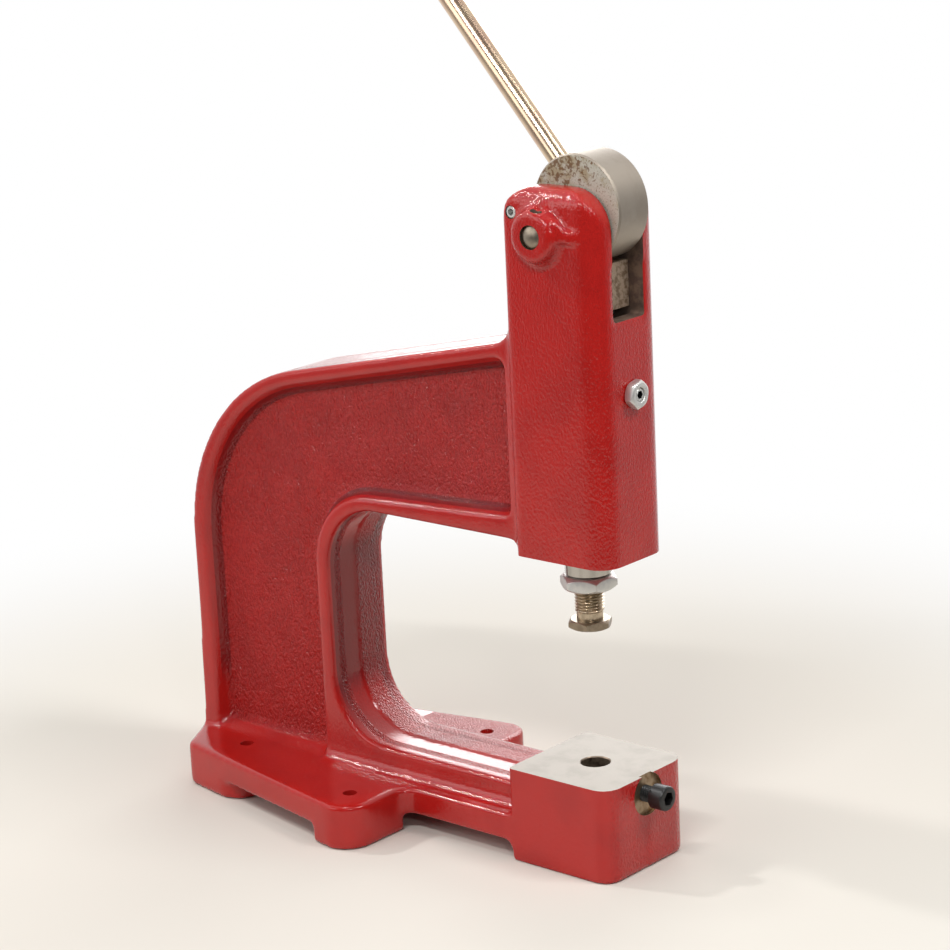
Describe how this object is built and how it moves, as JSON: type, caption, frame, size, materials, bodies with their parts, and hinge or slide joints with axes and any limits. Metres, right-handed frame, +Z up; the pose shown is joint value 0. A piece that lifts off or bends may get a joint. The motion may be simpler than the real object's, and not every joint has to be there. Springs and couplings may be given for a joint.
{
  "type": "hand lever press",
  "caption": "Bench press with a cast C-frame, a hand lever on an eccentric drum, a sprung ram with a screwed die holder, and an anvil block with a clamped die bore.",
  "frame": {"origin": "on the bench, straight below the ram's axis and the die bore of the anvil", "axes": "+Z up along the ram's axis, -Y towards the operator at the front, X across the width"},
  "size_m": [0.1406, 0.2906, 0.5165],
  "materials": {
    "red_enamel": "glossy",
    "worn_steel": "satin",
    "zinc_plate": "satin",
    "yellow_zinc": "glossy",
    "black_oxide": "satin",
    "spring_steel": "satin",
    "black_plastic": "glossy"
  },
  "bodies": {
    "press_frame": {"frame": "red_enamel", "stop_screw": "zinc_plate", "guide_screw": "zinc_plate", "guide_lock_nut": "zinc_plate", "return_spring": "spring_steel"},
    "lever_drum": {"eccentric_drum": "worn_steel", "pivot_pin": "worn_steel", "lever_rod": "yellow_zinc", "lever_knob": "black_plastic"},
    "ram_body": {"ram": "worn_steel", "die_lock_nut": "zinc_plate"},
    "die_holder": {"die_holder_screw": "worn_steel"},
    "clamp": {"clamp_screw": "black_oxide"}
  },
  "joints": [
    {"name": "lever_turn", "type": "hinge", "parent": "press_frame", "child": "lever_drum", "pos_m": [0, 0.002, 0.304], "axis": [1, 0, 0], "range_deg": [0, 85]},
    {"name": "ram_slide", "type": "slide", "parent": "press_frame", "child": "ram_body", "axis": [0, 0, -1], "range_m": [0, 0.0213], "stiffness_N_per_m": 2000, "springref_m": -0.008, "deforming": ["return_spring"]},
    {"name": "die_height_adjust", "type": "slide", "parent": "ram_body", "child": "die_holder", "axis": [0, 0, -1], "range_m": [-0.012, 0.006]},
    {"name": "clamp_screw_feed", "type": "slide", "parent": "press_frame", "child": "clamp", "axis": [0, -1, 0], "range_m": [0, 0.02]}
  ],
  "couplings": [
    {"joint": "ram_slide", "follows": "lever_turn", "m_per_rad": 0.0143}
  ]
}
